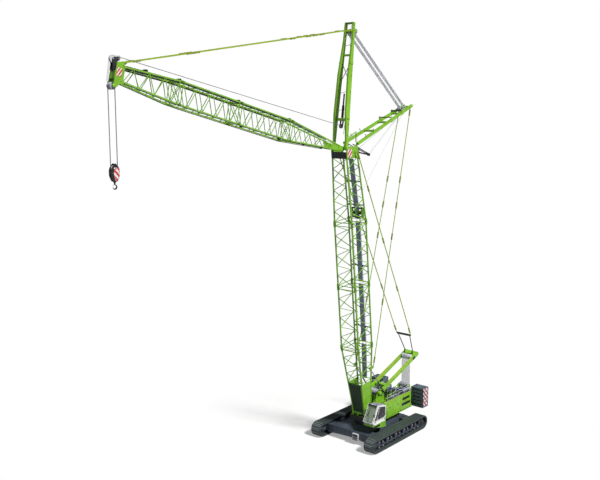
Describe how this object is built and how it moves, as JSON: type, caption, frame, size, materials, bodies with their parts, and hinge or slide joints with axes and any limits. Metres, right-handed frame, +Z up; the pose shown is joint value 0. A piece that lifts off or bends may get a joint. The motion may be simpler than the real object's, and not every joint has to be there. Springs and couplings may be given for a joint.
{
  "type": "crawler crane",
  "caption": "Luffing-jib crawler crane: two tracks, slewing deck with cab and stacked counterweights, tall lattice boom, fly jib on struts, mast and hook block.",
  "frame": {"origin": "on the ground under the slewing axis", "axes": "+X forward along the tracks and jib, +Y the crane's left, +Z up"},
  "size_m": [37.2717, 7.36, 38.8517],
  "materials": {
    "shoe_steel": "worn satin",
    "undercarriage_paint": "satin",
    "wheel_steel": "satin",
    "ring_steel": "satin",
    "step_paint": "satin",
    "frame_paint": "gloss",
    "panel_paint": "gloss",
    "weight_paint": "matte",
    "cab_paint": "gloss",
    "platform_paint": "satin",
    "cab_window": "clear",
    "seat_cloth": "woven",
    "machinery_paint": "satin",
    "drum_paint": "satin",
    "lattice_paint": "gloss",
    "strut_paint": "gloss",
    "pendant_paint": "gloss",
    "sheave_steel": "satin",
    "walkway_steel": "matte",
    "rope_steel": "satin",
    "barrel_paint": "satin",
    "rod_steel": "polished",
    "block_paint": "satin",
    "hook_steel": "satin"
  },
  "bodies": {
    "undercarriage": {"track_left": "shoe_steel", "track_right": "shoe_steel", "crawler_frame_left": "undercarriage_paint", "crawler_frame_right": "undercarriage_paint", "drive_sprockets": "wheel_steel", "idler_wheels": "wheel_steel", "track_rollers": "wheel_steel", "car_body": "undercarriage_paint", "slewing_ring_lower": "ring_steel", "boarding_step": "step_paint"},
    "upper": {"slewing_ring_upper": "ring_steel", "revolving_frame": "frame_paint", "side_panel_left": "panel_paint", "side_panel_right": "panel_paint", "counterweight_tray": "weight_paint", "counterweights_left": "weight_paint", "counterweights_right": "weight_paint", "cab_shell": "cab_paint", "cab_seat": "seat_cloth", "cab_platform": "frame_paint", "cab_glass": "cab_window", "engine_block": "machinery_paint", "tank_housing": "machinery_paint", "deck_sheaves": "sheave_steel", "sheave_bracket": "frame_paint"},
    "cab_door": {"cab_door": "cab_paint"},
    "hoist_drum_front": {"hoist_drum_front": "drum_paint"},
    "hoist_drum_rear": {"hoist_drum_rear": "drum_paint"},
    "luffing_drum": {"luffing_drum": "drum_paint"},
    "boom": {"boom_foot_section": "lattice_paint", "boom_insert_lower": "lattice_paint", "boom_insert_upper": "lattice_paint", "boom_head_section": "lattice_paint", "boom_head_plate": "platform_paint", "boom_walkway": "walkway_steel", "rear_strut": "strut_paint", "rear_strut_sheaves": "sheave_steel", "strut_guys": "pendant_paint"},
    "boom_pendants": {"boom_pendants": "pendant_paint", "bridle": "platform_paint"},
    "mast": {"mast": "strut_paint", "mast_sheaves": "sheave_steel", "luffing_reeving": "rope_steel"},
    "backstop_barrels": {"backstop_barrels": "barrel_paint"},
    "backstop_rods": {"backstop_rods": "rod_steel"},
    "jib": {"jib_foot_section": "lattice_paint", "jib_insert_inner": "lattice_paint", "jib_insert_outer": "lattice_paint", "jib_head_section": "lattice_paint", "jib_head_bracket": "platform_paint", "jib_head_sheaves": "sheave_steel", "jib_walkway": "walkway_steel", "front_strut": "strut_paint", "front_strut_sheaves": "sheave_steel", "jib_pendants": "pendant_paint", "strut_reeving": "rope_steel"},
    "hoist_falls": {"hoist_falls": "rope_steel"},
    "hook_block": {"hook_block": "block_paint"},
    "hook": {"hook": "hook_steel"}
  },
  "joints": [
    {"name": "slew", "type": "hinge", "parent": "undercarriage", "child": "upper", "pos_m": [0, 0, 1.48], "axis": [0, 0, 1], "continuous": true},
    {"name": "boom_luff", "type": "hinge", "parent": "upper", "child": "boom", "pos_m": [1.636, 0, 1.97], "axis": [0, -1, 0], "range_deg": [-19.3, 2.7]},
    {"name": "jib_luff", "type": "hinge", "parent": "boom", "child": "jib", "pos_m": [5.21765, 0, 27.86821], "axis": [0, -1, 0], "range_deg": [-3.5, 50], "deforming": ["strut_reeving"]},
    {"name": "mast_swing", "type": "hinge", "parent": "upper", "child": "mast", "pos_m": [-0.55, 0, 3.95], "axis": [0, -1, 0], "range_deg": [-27.65, 3.91], "deforming": ["luffing_reeving"]},
    {"name": "pendant_swing", "type": "hinge", "parent": "boom", "child": "boom_pendants", "pos_m": [4.07855, 0, 27.60417], "axis": [0, -1, 0], "range_deg": [-0.36, 0.09]},
    {"name": "backstop_swing", "type": "hinge", "parent": "upper", "child": "backstop_barrels", "pos_m": [-1.46, 0, 3.37], "axis": [0, -1, 0], "range_deg": [-14.41, 2.06]},
    {"name": "backstop_slide", "type": "slide", "parent": "backstop_barrels", "child": "backstop_rods", "axis": [0.6181, 0, 0.7861], "range_m": [-0.1519, 1.0732]},
    {"name": "falls_swing", "type": "hinge", "parent": "jib", "child": "hoist_falls", "pos_m": [29.52451, 0, 32.79396], "axis": [0, 1, 0], "range_deg": [-3.6, 50.1]},
    {"name": "hoist", "type": "slide", "parent": "hoist_falls", "child": "hook_block", "axis": [0, 0, 1], "range_m": [-12, 3.6], "deforming": ["hoist_falls"]},
    {"name": "hook_swivel", "type": "hinge", "parent": "hook_block", "child": "hook", "pos_m": [29.52451, 0, 26.52], "axis": [0, 0, 1], "continuous": true},
    {"name": "cab_door_slide", "type": "slide", "parent": "upper", "child": "cab_door", "axis": [-1, 0, 0], "range_m": [0, 0.8]},
    {"name": "front_drum_turn", "type": "hinge", "parent": "upper", "child": "hoist_drum_front", "pos_m": [-0.86, 0, 3.8], "axis": [0, 1, 0], "continuous": true},
    {"name": "rear_drum_turn", "type": "hinge", "parent": "upper", "child": "hoist_drum_rear", "pos_m": [-2.56, 0, 3.9], "axis": [0, 1, 0], "continuous": true},
    {"name": "luffing_drum_turn", "type": "hinge", "parent": "upper", "child": "luffing_drum", "pos_m": [-3.9, 0, 3], "axis": [0, 1, 0], "continuous": true}
  ],
  "couplings": [
    {"joint": "mast_swing", "follows": "boom_luff", "ratio": 1.43},
    {"joint": "pendant_swing", "follows": "boom_luff", "ratio": 0.016},
    {"joint": "backstop_swing", "follows": "boom_luff", "ratio": 0.744},
    {"joint": "backstop_slide", "follows": "boom_luff", "m_per_rad": -3.18},
    {"joint": "falls_swing", "follows": "jib_luff", "ratio": 1}
  ]
}
